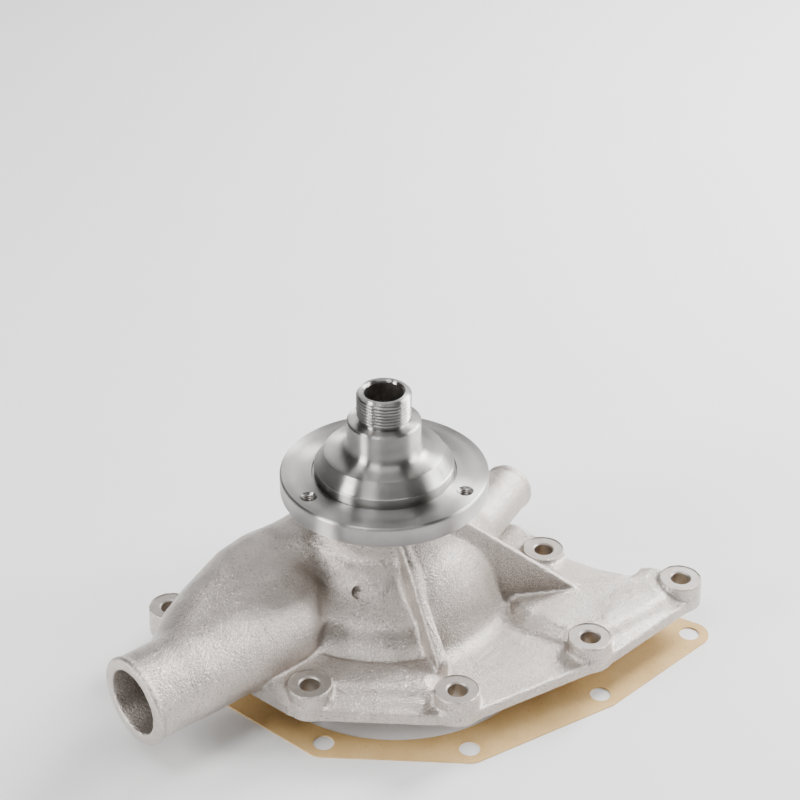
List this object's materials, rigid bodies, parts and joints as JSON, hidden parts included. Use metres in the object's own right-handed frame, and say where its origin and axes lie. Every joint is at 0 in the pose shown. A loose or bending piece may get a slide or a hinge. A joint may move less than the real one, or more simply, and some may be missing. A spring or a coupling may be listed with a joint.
{
  "type": "engine water pump",
  "caption": "Engine water pump with a cast housing, side inlet and heater spigots, a threaded fan hub on a ball-bearing shaft, face seal, vaned impeller and loose paper gasket",
  "frame": {"origin": "on the shaft's axis, in the plane of the housing's gasket face", "axes": "+Z runs along the shaft to the threaded nose; +X runs along the front pair of bolt holes, towards the wing; +Y runs to the back"},
  "size_m": [0.2586, 0.1857, 0.1255],
  "materials": {
    "cast_aluminium": "grit-textured as-cast aluminium with machined boss tops and bores",
    "gasket_paper": "tan fibrous gasket paper",
    "turned_steel": "bright turned steel with fine circular tool marks",
    "shaft_steel": "ground steel",
    "bearing_steel": "ground bearing steel",
    "ball_steel": "polished bearing balls",
    "cage_polymer": "glass-filled polyamide",
    "seal_rubber": "black nitrile rubber",
    "seal_brass": "drawn brass sheet",
    "spring_steel": "drawn spring wire",
    "seal_carbon": "lapped carbon graphite",
    "seat_ceramic": "lapped alumina ceramic",
    "impeller_iron": "fine sand-cast iron, turned on its back face"
  },
  "bodies": {
    "pump_body": {"housing": "cast_aluminium", "bearing_outer_ring": "bearing_steel", "front_bearing_seal": "seal_rubber", "rear_bearing_seal": "seal_rubber", "seal_case": "seal_brass", "seal_bellows": "seal_rubber", "seal_spring": "spring_steel", "bellows_clamp_ring": "seal_brass"},
    "rotor": {"hub": "turned_steel", "shaft": "shaft_steel", "slinger": "seal_rubber", "ceramic_seat": "seat_ceramic", "seat_cup": "seal_rubber", "impeller": "impeller_iron"},
    "front_ball_set": {"front_balls": "ball_steel", "front_ball_cage": "cage_polymer"},
    "rear_ball_set": {"rear_balls": "ball_steel", "rear_ball_cage": "cage_polymer"},
    "seal_face": {"carbon_carrier": "seal_brass", "carbon_ring": "seal_carbon"},
    "loose_gasket": {"gasket": "gasket_paper"}
  },
  "joints": [
    {"name": "shaft_spin", "type": "hinge", "parent": "pump_body", "child": "rotor", "pos_m": [0, 0, 0.038], "axis": [0, 0, 1], "continuous": true},
    {"name": "front_balls_roll", "type": "hinge", "parent": "pump_body", "child": "front_ball_set", "pos_m": [0, 0, 0.047], "axis": [0, 0, 1], "continuous": true},
    {"name": "rear_balls_roll", "type": "hinge", "parent": "pump_body", "child": "rear_ball_set", "pos_m": [0, 0, 0.029], "axis": [0, 0, 1], "continuous": true},
    {"name": "seal_face_slide", "type": "slide", "parent": "pump_body", "child": "seal_face", "axis": [0, 0, 1], "range_m": [0, 0.0012], "stiffness_N_per_m": 6000, "springref_m": -0.004, "deforming": ["seal_spring", "seal_bellows"]},
    {"name": "gasket_seating", "type": "slide", "parent": "pump_body", "child": "loose_gasket", "axis": [-0.3356, 0.3124, 0.8887], "range_m": [0, 0.01728]}
  ],
  "couplings": [
    {"joint": "front_balls_roll", "follows": "shaft_spin", "ratio": 0.3267},
    {"joint": "rear_balls_roll", "follows": "shaft_spin", "ratio": 0.3267}
  ]
}
